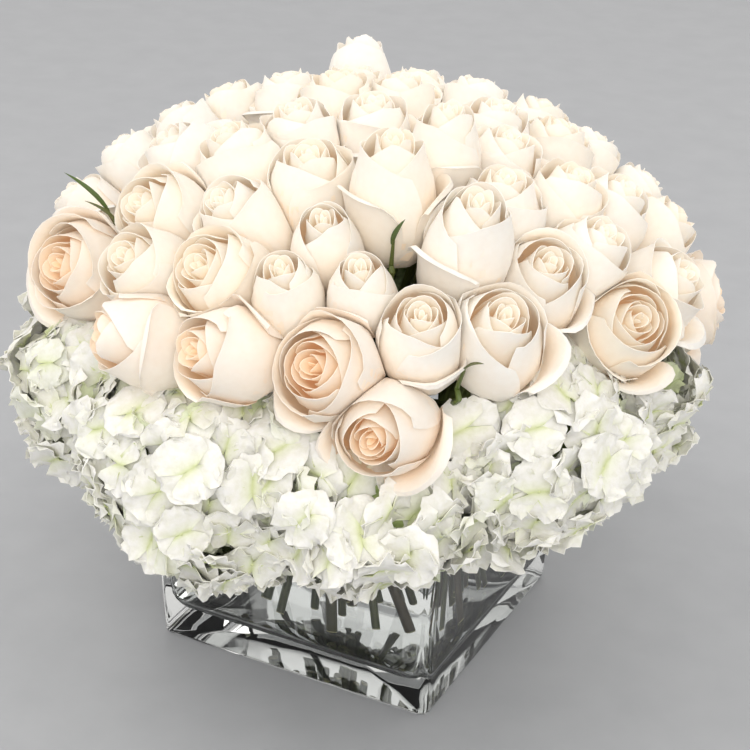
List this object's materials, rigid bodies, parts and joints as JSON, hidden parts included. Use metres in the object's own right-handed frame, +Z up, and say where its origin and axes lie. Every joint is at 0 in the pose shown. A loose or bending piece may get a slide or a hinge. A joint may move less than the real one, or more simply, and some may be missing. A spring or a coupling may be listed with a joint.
{
  "type": "floral table centerpiece",
  "caption": "Dome of upright cream roses over a collar of white hydrangea heads, standing in a low square clear glass vase of water.",
  "frame": {"origin": "middle of the vase's flat underside", "axes": "+Z up out of the vase; +X and +Y square to the vase's sides"},
  "size_m": [0.3382, 0.3479, 0.2938],
  "materials": {
    "rose_petal": "soft matt cream petals, peach towards the heart",
    "hydrangea_petal": "thin white petals with a green tint, finely ruffled edges",
    "stem_green": "waxy dark green stems, sepals and leaf tips",
    "clear_glass": "clear polished glass, thick base",
    "clear_water": "still clear water"
  },
  "bodies": {
    "root": {"hydrangea_01": "hydrangea_petal", "hydrangea_02": "hydrangea_petal", "hydrangea_03": "hydrangea_petal", "hydrangea_04": "hydrangea_petal", "hydrangea_05": "hydrangea_petal", "hydrangea_06": "hydrangea_petal", "hydrangea_07": "hydrangea_petal", "hydrangea_08": "hydrangea_petal", "hydrangea_09": "hydrangea_petal", "hydrangea_10": "hydrangea_petal", "rose_01": "rose_petal", "rose_02": "rose_petal", "rose_03": "rose_petal", "rose_04": "rose_petal", "rose_05": "rose_petal", "rose_06": "rose_petal", "rose_07": "rose_petal", "rose_08": "rose_petal", "rose_09": "rose_petal", "rose_10": "rose_petal", "rose_11": "rose_petal", "rose_12": "rose_petal", "rose_13": "rose_petal", "rose_14": "rose_petal", "rose_15": "rose_petal", "rose_16": "rose_petal", "rose_17": "rose_petal", "rose_18": "rose_petal", "rose_19": "rose_petal", "rose_20": "rose_petal", "rose_21": "rose_petal", "rose_22": "rose_petal", "rose_23": "rose_petal", "rose_24": "rose_petal", "rose_25": "rose_petal", "rose_26": "rose_petal", "rose_27": "rose_petal", "rose_28": "rose_petal", "rose_29": "rose_petal", "rose_30": "rose_petal", "rose_31": "rose_petal", "rose_32": "rose_petal", "rose_33": "rose_petal", "rose_34": "rose_petal", "rose_35": "rose_petal", "rose_36": "rose_petal", "roses_37": "rose_petal", "roses_38": "rose_petal", "roses_39": "rose_petal", "roses_40": "rose_petal", "roses_41": "rose_petal", "roses_42": "rose_petal", "roses_43": "rose_petal", "roses_44": "rose_petal", "roses_45": "rose_petal", "roses_46": "rose_petal", "roses_47": "rose_petal", "stems": "stem_green", "vase": "clear_glass", "water": "clear_water"}
  },
  "joints": []
}
